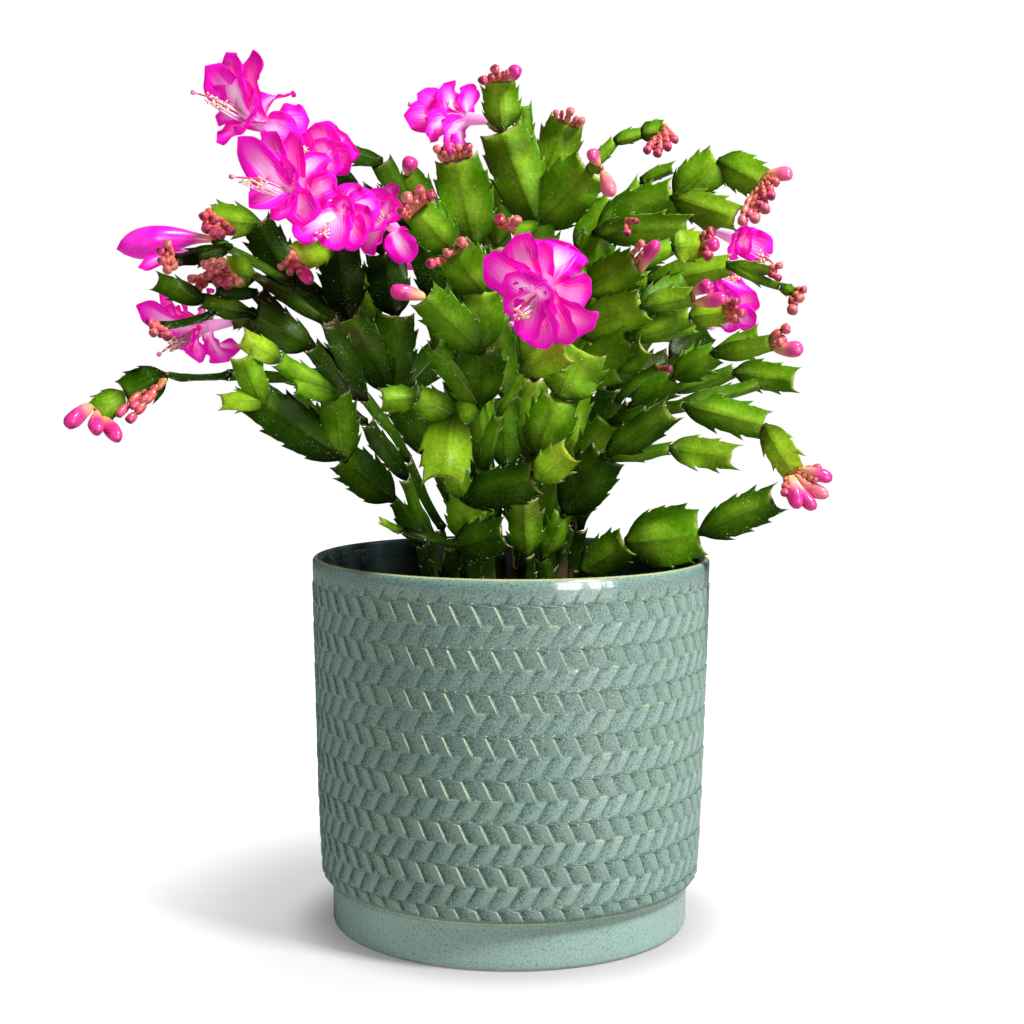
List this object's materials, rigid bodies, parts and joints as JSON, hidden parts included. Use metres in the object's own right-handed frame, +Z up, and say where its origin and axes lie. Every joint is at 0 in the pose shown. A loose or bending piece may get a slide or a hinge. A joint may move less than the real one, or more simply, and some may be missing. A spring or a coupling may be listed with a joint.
{
  "type": "potted christmas cactus",
  "caption": "Christmas cactus with arching flat leafy stems, fans of small buds and open magenta flowers, rooted in a round glazed pot with a herringbone relief.",
  "frame": {"origin": "centre of the pot's flat underside, where the object rests on the ground", "axes": "+Z up along the pot's own axis, +X to the right and -Y to the front, as the plant shows in the picture"},
  "size_m": [0.2708, 0.2103, 0.33],
  "materials": {
    "celadon_glaze": "glossy crackled glaze",
    "potting_soil": "loose and dull",
    "stem_green": "waxy",
    "petal_magenta": "satin",
    "stamen_pale": "satin",
    "bud_coral": "satin"
  },
  "bodies": {
    "root": {"bloom_back_left": "petal_magenta", "bloom_back_right": "petal_magenta", "bloom_centre_back": "petal_magenta", "bloom_front": "petal_magenta", "bloom_front_stamens": "stamen_pale", "bloom_left_centre": "petal_magenta", "bloom_left_low": "petal_magenta", "bloom_left_low_stamens": "stamen_pale", "bloom_right": "petal_magenta", "bloom_right_back": "petal_magenta", "bloom_top": "petal_magenta", "bloom_top_left": "petal_magenta", "bloom_top_left_stamens": "stamen_pale", "bloom_upper_left": "petal_magenta", "bloom_upper_left_back": "petal_magenta", "bloom_upper_left_stamens": "stamen_pale", "bud_centre_left": "bud_coral", "bud_great_left": "bud_coral", "bud_magenta": "bud_coral", "buds_centre_apex": "bud_coral", "buds_centre_fan": "bud_coral", "buds_far_left": "bud_coral", "buds_left_curl": "bud_coral", "buds_left_fan": "bud_coral", "buds_left_lime": "bud_coral", "buds_left_tip": "bud_coral", "buds_right_arch": "bud_coral", "buds_right_fan": "bud_coral", "buds_right_large": "bud_coral", "buds_right_low": "bud_coral", "buds_right_mid": "bud_coral", "buds_right_tip": "bud_coral", "buds_top": "bud_coral", "buds_top_right": "bud_coral", "pot": "celadon_glaze", "soil": "potting_soil", "stem_arch": "stem_green", "stem_back": "stem_green", "stem_back_left": "stem_green", "stem_back_right": "stem_green", "stem_centre": "stem_green", "stem_centre_front": "stem_green", "stem_centre_low": "stem_green", "stem_far_left": "stem_green", "stem_left_arm": "stem_green", "stem_left_blooms": "stem_green", "stem_left_upper": "stem_green", "stem_low_left": "stem_green", "stem_right": "stem_green", "stem_right_fan": "stem_green", "stem_right_front": "stem_green", "stem_right_low": "stem_green", "stem_top": "stem_green", "stem_top_left": "stem_green", "stem_top_right": "stem_green"}
  },
  "joints": []
}
